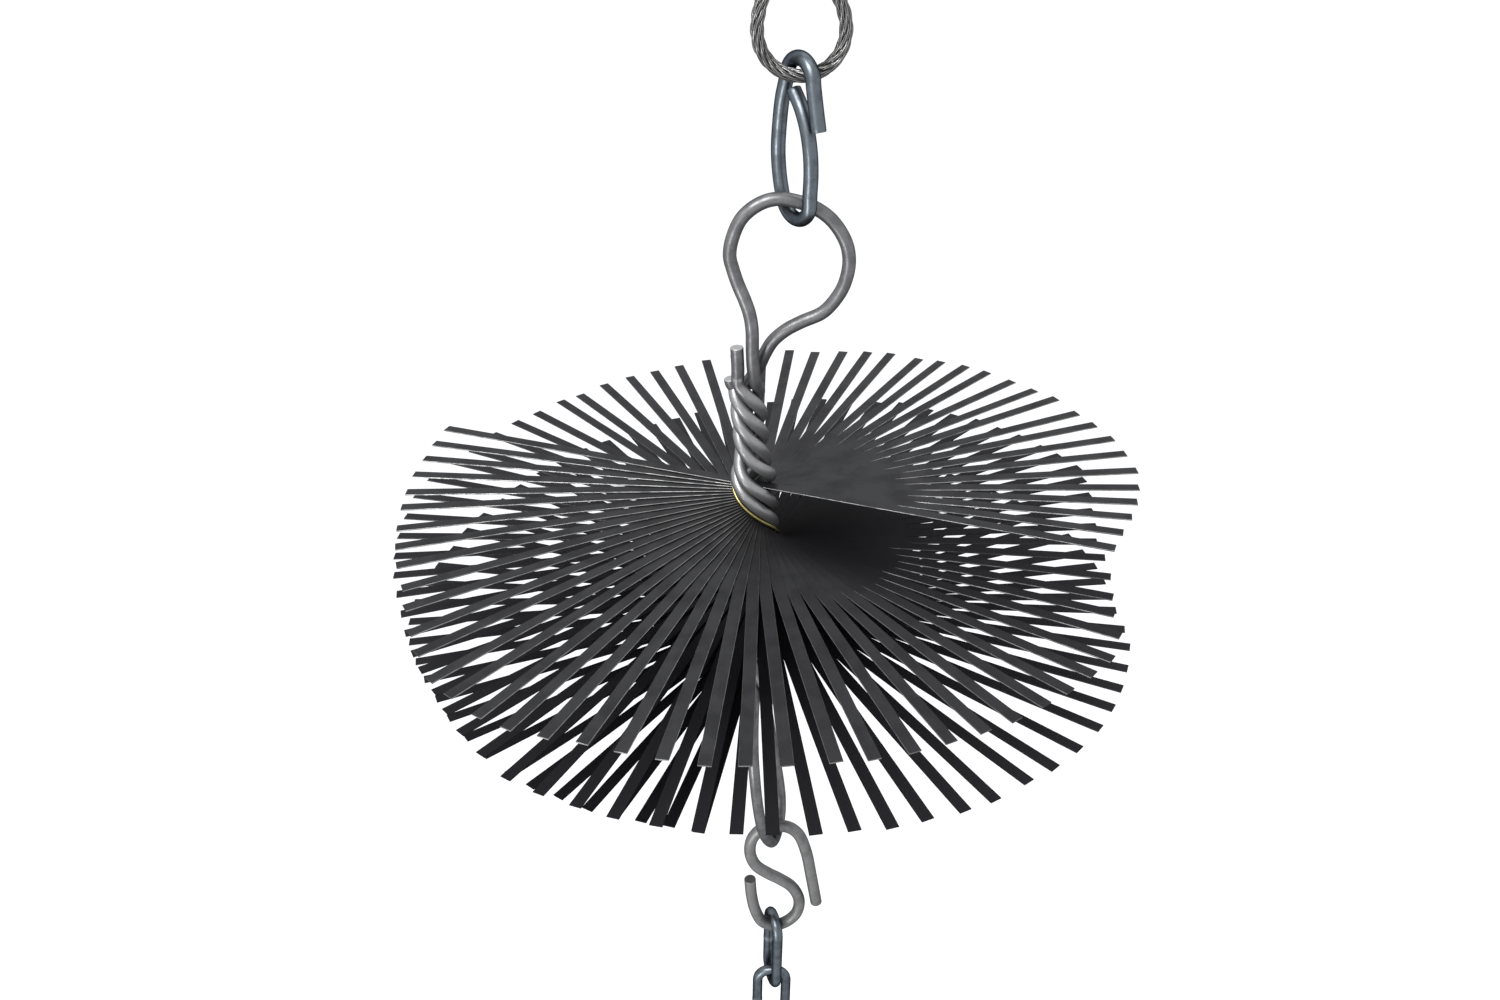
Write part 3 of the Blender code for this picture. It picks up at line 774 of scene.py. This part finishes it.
def twist(z):
    """Direction of the strips at height z in the core; the wires turn with them.

    In the fan the count of the strips above z comes from strip_height, solved for the count. Above and below
    the fan the core turns evenly, once in each twist length.
    """
    inside = np.clip(z, -FAN_HEIGHT, 0)
    root = np.sqrt(STRIP_PITCH_TOP**2 - 4 * STRIP_GROWTH * inside)
    turn = FAN_START + STRIP_STEP * (root - STRIP_PITCH_TOP) / (2 * STRIP_GROWTH)
    turn = turn - math.tau * np.maximum(z, 0) / TWIST_LENGTH_ABOVE
    return turn - math.tau * np.minimum(z + FAN_HEIGHT, 0) / TWIST_LENGTH_BELOW


def turned(u, v, z):
    """Points of the core that stand u along the strips and v across them at the heights z."""
    turn = twist(z)
    return np.stack([u * np.cos(turn) - v * np.sin(turn), u * np.sin(turn) + v * np.cos(turn), z], axis=1)


def core_points(z, side_u, side_v):
    """Centres of one of the four wires at the heights z; the sides say which corner of the core it keeps to.

    The strips hold the wires apart in the fan, and outside it they close up smoothly. The top of the core
    leans over by a little that grows with the square of the height.
    """
    outside = np.maximum(np.maximum(z - WIRE_D / 2, -OPEN_HEIGHT - z - WIRE_D / 2), 0)
    share = np.maximum(0, 1 - outside / CORE_OPENING)
    share = share * share * (3 - 2 * share)
    tight = CORE_TIGHT_RADIUS * math.sqrt(0.5)
    u = side_u * (tight + (CORE_PAIR_U - tight) * share)
    v = side_v * (tight + (CORE_PAIR_V - tight) * share)
    points = turned(u, v, z)
    points[:, 0] -= CORE_LEAN * (np.maximum(z, 0) / CORE_ABOVE_FAN) ** 2
    return points


def core_wire(side_u, side_v, top_z):
    """Points down one wire of the core, spaced as in the part's source."""
    count = round((top_z - CORE_BOTTOM_Z) / CORE_KNOT_SPACING) + 1
    return core_points(np.linspace(top_z, CORE_BOTTOM_Z, count), side_u, side_v)


def cut_end(last, length, outward):
    """A straight end that stands off the core, leaning outward a little."""
    side = np.array((last[0], last[1], 0))
    side = side / np.linalg.norm(side) * outward
    rise = np.array((0, 0, length))
    return np.array([last + rise / 2 + side * END_SPLAY_HALFWAY_SHARE, last + rise + side])


def top_loop_points():
    """Knots of the top loop in the brush's frame."""
    scale = np.array((TOP_LOOP_WIDTH, TOP_LOOP_WIDTH, TOP_LOOP_HEIGHT))
    return np.array(TOP_LOOP_SHARES) * scale + np.array((0, 0, CORE_ABOVE_FAN))


def bottom_loop_points():
    """Knots of the bottom loop in the brush's frame."""
    scale = np.array((BOTTOM_LOOP_REACH, BOTTOM_LOOP_REACH, BOTTOM_LOOP_HEIGHT))
    return np.array(BOTTOM_LOOP_SHARES) * scale + np.array((0, 0, CORE_BOTTOM_Z))


def top_loop_line():
    """One wire: up through the core, round the top loop, and down through the core again."""
    left = core_wire(1, 1, CORE_ABOVE_FAN)
    right = core_wire(-1, 1, CORE_ABOVE_FAN)
    first = cut_end(left[-1], -SHORT_END_LENGTH, END_SPLAY)[::-1]
    last = cut_end(right[-1], -SHORT_END_LENGTH, END_SPLAY)
    return smooth_curve(np.vstack([first, left[::-1], top_loop_points(), right, last]))


def bottom_loop_line():
    """The other wire: down through the core, round the bottom loop, and up again to its two cut ends."""
    front = core_wire(1, -1, CORE_ABOVE_FAN)
    back = core_wire(-1, -1, CORE_ABOVE_FAN - SHORT_END_DROP)
    first = cut_end(back[0], SHORT_END_LENGTH, END_SPLAY)[::-1]
    last = cut_end(front[0], CUT_END_LENGTH, 0)
    return smooth_curve(np.vstack([first, back, bottom_loop_points(), front[::-1], last]))


def packing_line():
    """The thin wire keeps to the groove between the strips and one wire of the core."""
    u = -(CORE_PAIR_U + PACKING_OUT_SHARE * WIRE_D)
    v = -(STRIP_WIDTH / 2 + PACKING_D + GAP)
    return turned(u, v, np.linspace(strip_height(0), strip_height(STRIP_COUNT - 1), PACKING_KNOTS))


def link_line(rise):
    """A long link that hangs by the inside of its upper end, from the middle of its left side."""
    radius = (CHAIN_LINK_WIDTH - CHAIN_D) / 2
    top = (0, 0, rise - radius)
    bottom = (0, 0, rise - CHAIN_LINK_LENGTH + CHAIN_D + radius)
    middle = (-radius, 0, (top[2] + bottom[2]) / 2)
    return np.vstack([[middle], arc(bottom, radius, math.pi, math.tau), arc(top, radius, 0, math.pi)])


def hanging_frames():
    """World frames of the hook, the brush, the S-hook and the two links, as the part's source hangs them."""
    top_hang = Vector(top_loop_points()[TOP_HANG_INDEX])
    bottom_hang = Vector(bottom_loop_points()[BOTTOM_HANG_INDEX])
    tilt = (top_hang - bottom_hang).normalized().rotation_difference(Vector((0, 0, 1))).to_matrix().to_4x4()
    hang_z = HOOK_BOTTOM_Z + TOP_HANG_RISE
    loop_bottom = hang_z - (top_hang - bottom_hang).length
    s_bottom = loop_bottom + S_HOOK_RISE - S_HOOK_LENGTH
    link_bottom = s_bottom + UPPER_LINK_RISE - (CHAIN_LINK_LENGTH - CHAIN_D)
    upper_turn = Matrix.Rotation(UPPER_LINK_YAW, 4, "Z")
    return {
        "hook": Matrix.Translation((0, 0, EYE_BOTTOM_Z)) @ Matrix.Rotation(HOOK_YAW, 4, "Z"),
        "brush": Matrix.Translation(Vector((0, 0, hang_z)) - tilt @ top_hang) @ tilt,
        "s_hook": Matrix.Translation((0, 0, loop_bottom)),
        "upper_link": Matrix.Translation((0, 0, s_bottom)) @ upper_turn,
        "lower_link": Matrix.Translation((0, 0, link_bottom)),
    }


# The wire rope


def strand_section():
    """Turns and reaches of a strand's outline: a ring of round wires, whose outer halves show as lobes."""
    sides = WIRES_IN_STRAND * LOBE_POINTS
    turns = math.tau * np.arange(sides) / sides
    lobe = (turns * WIRES_IN_STRAND / math.tau + 0.5) % 1 - 0.5
    off = lobe * math.tau / WIRES_IN_STRAND
    ring = STRAND_D / 2 - STRAND_WIRE_D / 2
    bulge = np.sqrt(np.maximum((STRAND_WIRE_D / 2) ** 2 - (ring * np.sin(off)) ** 2, 0))
    return turns, np.maximum(ring * np.cos(off) + bulge, ring * GROOVE_FLOOR_SHARE)


def rope_strand(strand, stops, centre, frames, section):
    """Points and lay of one strand.

    An outer strand's centre turns round the rope's line once in each lay, and the last strand is the heart of
    the rope. The section turns the other way in the strand, so that the wires lie nearly along the rope.
    """
    tangent, side, other = frames
    turns, reach = section
    swing = math.tau * (strand / STRAND_COUNT + stops / STRAND_LAY)
    out = np.cos(swing)[:, None] * side + np.sin(swing)[:, None] * other
    round_it = np.cross(tangent, out)
    spine = centre + out * (STRAND_D if strand < STRAND_COUNT else 0.0)
    turn = (turns[None, :] - (math.tau * stops / STRAND_WIRE_LAY)[:, None])[..., None]
    around = np.cos(turn) * out[:, None, :] + np.sin(turn) * round_it[:, None, :]
    points = spine[:, None, :] + reach[None, :, None] * around
    across = STRAND_GRAIN_WIDTH * (turns / turns[-1])
    lay = np.stack(np.broadcast_arrays(stops[:, None], STRAND_GRAIN_SHIFT * strand, across), axis=-1)
    return points.reshape(-1, 3), lay.reshape(-1, 3)


def make_rope(paint):
    """A wire rope of six strands round a seventh; the grooves between the wires are darkened with painted
    shade.
    """
    line = rope_line()
    total = lengths_along(line)[-1]
    stops = np.linspace(0, total, round(total / ROPE_STEP))
    centre = at_lengths(line, stops)
    frames = carried_frames(centre)
    section = strand_section()
    reach = section[1]
    # Painted shade: darker the deeper the groove between the wires
    groove_shade = 1 - (reach - reach.min()) / (reach.max() - reach.min())
    points, lays, faces = [], [], []
    for strand in range(STRAND_COUNT + 1):
        part, lay = rope_strand(strand, stops, centre, frames, section)
        faces += tube_faces(len(stops), len(reach), first=strand * len(part))
        points.append(part)
        lays.append(lay)
    wear_and_shade = np.tile(groove_shade, len(points) * len(stops))
    piece = add_piece("rope_strands", np.vstack(points), faces, paint, np.vstack(lays), wear_and_shade)
    return piece


# The fan of strips


def strip_reach(count, table):
    """How far the end of a strip stands from the core's axis: the brush was cut by eye and isn't round."""
    places, radii = zip(*table)
    return BRUSH_D / 2 * float(np.interp(count / STRIP_COUNT, places, radii))


def strip_outline():
    """Corners of a strip's section, as (across, up): a flat bar whose four edges are bevelled."""
    w, t, b = STRIP_WIDTH / 2, STRIP_THICKNESS / 2, STRIP_BEVEL
    half = [(w - b, -t), (w, -t + b), (w, t - b), (w - b, t)]
    return np.array([(-x, z) for x, z in half[:1]] + half + [(-x, z) for x, z in half[:0:-1]])


def strip_surface(number):
    """Points and lay of one flat strip across the core.

    Its line runs straight through the core. Towards each tip it bends sideways and sags by a little that
    grows with a power of the distance, and its width rolls by a little that grows with the distance.
    """
    turn = FAN_START + STRIP_STEP * number + FAN_WOBBLE * math.sin(number // 2 * WOBBLE_TURN)
    along = np.array((math.cos(turn), math.sin(turn), 0))
    across = np.array((-along[1], along[0], 0))
    up = np.array((0, 0, 1.0))
    share = np.linspace(-1, 1, STRIP_STATIONS)
    far_reach = strip_reach(number, FAR_REACH_SHARES)
    near_reach = strip_reach(number, NEAR_REACH_SHARES)
    out = share * np.where(share > 0, far_reach, near_reach)
    draws = np.random.default_rng(STRIP_SEED + number).uniform(-1, 1, STRIP_DRAWS)
    bend, sag, roll = (np.where(share > 0, far, near) for far, near in draws.reshape(3, 2))
    line = out[:, None] * along + (STRIP_TIP_BEND * bend * share**2)[:, None] * across
    line[:, 2] += strip_height(number + 0.5) + STRIP_TIP_SAG * sag * np.abs(share) ** STRIP_SAG_POWER
    roll = STRIP_ROLL * roll * np.abs(share)
    wide = np.cos(roll)[:, None] * across + np.sin(roll)[:, None] * up
    high = -np.sin(roll)[:, None] * across + np.cos(roll)[:, None] * up
    outline = strip_outline()
    points = line[:, None, :] + outline[:, :1] * wide[:, None, :] + outline[:, 1:] * high[:, None, :]
    grain = outline[:, 1] + STRIP_GRAIN_SHIFT * number
    lay = np.stack(np.broadcast_arrays(out[:, None], outline[:, 0], grain), axis=-1)
    return points, lay


def make_strip_pair(pair, matrix, paint, edge_paint):
    """Two neighbouring strips; their slit edges and sheared ends show bare steel."""
    numbers = (2 * pair, 2 * pair + 1)
    surfaces = [strip_surface(number) for number in numbers]
    points, lay = (np.stack(parts).reshape(-1, 3) for parts in zip(*surfaces))
    faces = []
    for k in range(len(numbers)):
        faces += tube_faces(STRIP_STATIONS, STRIP_CORNERS, first=k * STRIP_STATIONS * STRIP_CORNERS)
    # Painted shade: the lower strips are mixed towards their dark tone, for the shade deep in the fan
    depth = min(1.0, max(0.0, (2 * pair - PAINTED_SHADE_FIRST) / PAINTED_SHADE_SPAN))
    wear_and_shade = np.full((len(numbers), STRIP_STATIONS, STRIP_CORNERS), depth)
    # Painted shade on the topmost pair's slit edges along the step
    if pair == 0:
        wear_and_shade[:, STRIP_STATIONS // 2 :, SLIT_CORNERS] = STEP_EDGE_PAINTED_SHADE
    piece = add_piece(f"strips_{pair + 1:02d}", carried(points, matrix), faces, paint, lay, wear_and_shade)
    piece.data.materials.append(edge_paint)
    side_faces = (STRIP_STATIONS - 1) * STRIP_CORNERS
    place = np.arange(len(faces)) % (len(faces) // len(numbers))
    edge = (place >= side_faces) | ~np.isin(place % STRIP_CORNERS, STRIP_FLATS)
    piece.data.polygons.foreach_set("material_index", edge.astype(np.int32))
    return piece


# Materials


def new_group(name, place, settings, outputs):
    """A shader node group that takes a place and some single values, and gives single values."""
    group = bpy.data.node_groups.new(name, "ShaderNodeTree")
    group.interface.new_socket(place, in_out="INPUT", socket_type="NodeSocketVector")
    for label in settings:
        group.interface.new_socket(label, in_out="INPUT", socket_type="NodeSocketFloat")
    for label in outputs:
        group.interface.new_socket(label, in_out="OUTPUT", socket_type="NodeSocketFloat")
    return group, group.nodes.new("NodeGroupInput"), group.nodes.new("NodeGroupOutput")


def noise_texture(tree, place, detail, roughness):
    """A noise over the given places."""
    noise = tree.nodes.new("ShaderNodeTexNoise")
    noise.inputs["Detail"].default_value = detail
    noise.inputs["Roughness"].default_value = roughness
    tree.links.new(place, noise.inputs["Vector"])
    return noise


def lines_group():
    """Fine lines drawn out along the metal: noise squeezed across the lay and stretched along it."""
    group, given, made = new_group("Drawn lines", "Lay", ("Along", "Across"), ("Lines",))
    stretch = group.nodes.new("ShaderNodeCombineXYZ")
    for label, axis in (("Along", "X"), ("Across", "Y"), ("Across", "Z")):
        group.links.new(given.outputs[label], stretch.inputs[axis])
    scaled = group.nodes.new("ShaderNodeVectorMath")
    scaled.operation = "MULTIPLY"
    group.links.new(given.outputs["Lay"], scaled.inputs[0])
    group.links.new(stretch.outputs["Vector"], scaled.inputs[1])
    noise = noise_texture(group, scaled.outputs["Vector"], *LINES_NOISE)
    noise.inputs["Scale"].default_value = 1.0
    group.links.new(noise.outputs["Fac"], made.inputs["Lines"])
    return group


def spots_group():
    """Soft blotches and small specks: two noises at different scales, each cut to a mask."""
    scales = ("Blotch Scale", "Speck Scale")
    masks = ("Blotch", "Specks")
    group, given, made = new_group("Blotches and specks", "Place", scales, masks)
    for scale, label, (low, high) in zip(scales, masks, (BLOTCH_RANGE, SPECK_RANGE)):
        noise = noise_texture(group, given.outputs["Place"], *SPOTS_NOISE)
        group.links.new(given.outputs[scale], noise.inputs["Scale"])
        spread = group.nodes.new("ShaderNodeMapRange")
        spread.interpolation_type = "SMOOTHSTEP"
        group.links.new(noise.outputs["Fac"], spread.inputs["Value"])
        spread.inputs["From Min"].default_value = low
        spread.inputs["From Max"].default_value = high
        group.links.new(spread.outputs["Result"], made.inputs[label])
    return group


def mixed(tree, share, first, second):
    """A colour mixed from two by a share; each may be a colour or a socket."""
    mix = tree.nodes.new("ShaderNodeMix")
    mix.data_type = "RGBA"
    tree.links.new(share, mix.inputs["Factor"])
    for index, value in zip(MIX_COLOUR_INPUTS, (first, second)):
        if isinstance(value, bpy.types.NodeSocket):
            tree.links.new(value, mix.inputs[index])
        else:
            mix.inputs[index].default_value = (*value, 1)
    return mix.outputs[MIX_COLOUR_OUTPUT]


def spread_value(tree, value, low, high):
    """A value from 0 to 1 spread from low to high."""
    spread = tree.nodes.new("ShaderNodeMapRange")
    tree.links.new(value, spread.inputs["Value"])
    spread.inputs["To Min"].default_value = low
    spread.inputs["To Max"].default_value = high
    return spread.outputs["Result"]


def added(tree, first, second, share):
    """The first value plus a share of the second."""
    sum_up = tree.nodes.new("ShaderNodeMath")
    sum_up.operation = "MULTIPLY_ADD"
    tree.links.new(second, sum_up.inputs[0])
    sum_up.inputs[1].default_value = share
    tree.links.new(first, sum_up.inputs[2])
    return sum_up.outputs["Value"]


def attribute(tree, name):
    """The node that reads one of the values kept with the points."""
    node = tree.nodes.new("ShaderNodeAttribute")
    node.attribute_name = name
    return node


def effect(tree, group, place, values):
    """An effect placed in a material over the given places, with its own values; its outputs by name."""
    node = tree.nodes.new("ShaderNodeGroup")
    node.node_tree = group
    tree.links.new(place, node.inputs[0])
    for label, value in values.items():
        node.inputs[label].default_value = value
    return node.outputs


def add_relief(tree, shader, height, depth):
    """A bump on the whole surface, as deep as is given."""
    bump = tree.nodes.new("ShaderNodeBump")
    bump.inputs["Strength"].default_value = 1.0
    bump.inputs["Distance"].default_value = depth
    tree.links.new(height, bump.inputs["Height"])
    tree.links.new(bump.outputs["Normal"], shader.inputs["Normal"])


def metal(
    name,
    lines_effect,
    spots_effect,
    dark,
    light,
    wear_and_shade_tone,
    rough,
    along=60.0,
    across=5000.0,
    blotch=260.0,
    speck=1800.0,
    relief=0.00002,
    speck_share=0.35,
    edge_tint=0.0,
    metallic=1.0,
    has_wear_and_shade=True,
):
    """A metal blotched between two tones, with drawn lines, specks, and a third tone for real wear and
    painted shade.
    """
    paint = bpy.data.materials.new(name)
    paint.use_nodes = True
    tree = paint.node_tree
    shader = tree.nodes["Principled BSDF"]
    place = tree.nodes.new("ShaderNodeTexCoord").outputs["Object"]
    lay = attribute(tree, "lay").outputs["Vector"]
    lines = effect(tree, lines_effect, lay, {"Along": along, "Across": across})["Lines"]
    spots = effect(tree, spots_effect, place, {"Blotch Scale": blotch, "Speck Scale": speck})
    tone = added(tree, spots["Blotch"], lines, LINES_IN_TONE)
    colour = mixed(tree, spread_value(tree, tone, *TONE_SPREAD), dark, light)
    colour = mixed(tree, spread_value(tree, spots["Specks"], 0.0, speck_share), colour, wear_and_shade_tone)
    # Real wear on the wires; painted shade on the strips, their slit edges and the rope's grooves
    if has_wear_and_shade:
        colour = mixed(tree, attribute(tree, "wear_and_shade").outputs["Fac"], colour, wear_and_shade_tone)
    tree.links.new(colour, shader.inputs["Base Color"])
    tree.links.new(spread_value(tree, tone, *reversed(rough)), shader.inputs["Roughness"])
    shader.inputs["Metallic"].default_value = metallic
    # Painted shade at the outlines: a dark specular tint darkens the reflection towards each metal's
    # silhouette, as dark surroundings would
    shader.inputs["Specular Tint"].default_value = (edge_tint, edge_tint, edge_tint, 1)
    add_relief(tree, shader, added(tree, lines, spots["Specks"], SPECKS_IN_RELIEF), relief)
    return paint


# Pieces, each on its body


def dress_rope(paints):
    """The rope's strands, and the finish of the ferrule, which keeps its solid."""
    finish_piece(make_rope(paints["stranded rope"]), "rope", "stranded_rope", "wire_rope")
    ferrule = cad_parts["rope_ferrule"]
    ferrule.data.materials.clear()
    ferrule.data.materials.append(paints["pressed alloy"])


def dress_hook(paints, matrix):
    """The hook link."""
    line = carried(hook_line(), matrix)
    piece = make_wire("hook_wire", line, HOOK_D, paints["galvanised wire"], dish=END_DISH)
    finish_piece(piece, "hook", "galvanised_wire", "hook_link")


def jaw_dents(total):
    """Dents that the twisting jaws left round the cut end, as (distance from the start, turn, length)."""
    dents = []
    for k in range(DENT_COUNT):
        from_end = DENT_FROM_END + DENT_SPREAD * (k % 3)
        dents.append((total - from_end, k * math.tau / DENT_COUNT, DENT_LENGTHS[k % 2]))
    return dents


def dress_core(paints, matrix):
    """The two wires of the core with their loops, rubbed bright along the core, and the brass packing."""
    rubbed = [matrix.translation.z + z for z in (-FAN_HEIGHT, CORE_ABOVE_FAN)]
    line = carried(top_loop_line(), matrix)
    piece = make_wire("top_loop", line, WIRE_D, paints["core wire"], rubbed=rubbed)
    finish_piece(piece, "brush", "core_wire", "top_loop_wire")
    line = carried(bottom_loop_line(), matrix)
    dents = jaw_dents(lengths_along(line)[-1])
    piece = make_wire("bottom_loop", line, WIRE_D, paints["core wire"], dents=dents, rubbed=rubbed)
    finish_piece(piece, "brush", "core_wire", "bottom_loop_wire")
    line = carried(packing_line(), matrix)
    piece = make_wire("brass_packing", line, PACKING_D, paints["brass packing"], sides=THIN_SIDES)
    finish_piece(piece, "brush", "brass_packing", "packing_wire")


def dress_fan(paints, matrix):
    """The strips in pairs; those below the last solid replace no node."""
    for pair in range(ALL_STRIPS // 2):
        piece = make_strip_pair(pair, matrix, paints["blackened spring steel"], paints["slit strip edge"])
        nodes = [f"strip_pair_{pair + 1:02d}"] if 2 * pair < STRIP_COUNT else []
        finish_piece(piece, "brush", "spring_steel", *nodes)


def dress_s_hook(paints, matrix):
    """The S-hook."""
    points = outline_points(S_HOOK_SHARES, S_HOOK_WIDTH, S_HOOK_LENGTH, S_HOOK_RISE)
    line = carried(smooth_curve(points), matrix)
    piece = make_wire("s_hook_bar", line, S_HOOK_D, paints["matt zinc"], dish=END_DISH)
    finish_piece(piece, "s_hook", "matt_zinc", "s_hook")


def dress_chain(paints, frames):
    """The two long links."""
    for place, rise in (("upper", UPPER_LINK_RISE), ("lower", LOWER_LINK_RISE)):
        body = f"{place}_link"
        line = carried(link_line(rise), frames[body])
        piece = make_wire(f"{body}_bar", line, CHAIN_D, paints["chain steel"], closed=True)
        finish_piece(piece, body, "chain_steel", f"chain_link_{place}")


def build():
    """Camera, light and every piece of the brush, the rope first."""
    make_camera()
    make_studio()
    effects = (lines_group(), spots_group())
    paints = {name: metal(name, *effects, **finish) for name, finish in FINISHES.items()}
    frames = hanging_frames()
    dress_rope(paints)
    dress_hook(paints, frames["hook"])
    dress_core(paints, frames["brush"])
    dress_fan(paints, frames["brush"])
    dress_s_hook(paints, frames["s_hook"])
    dress_chain(paints, frames)


build()
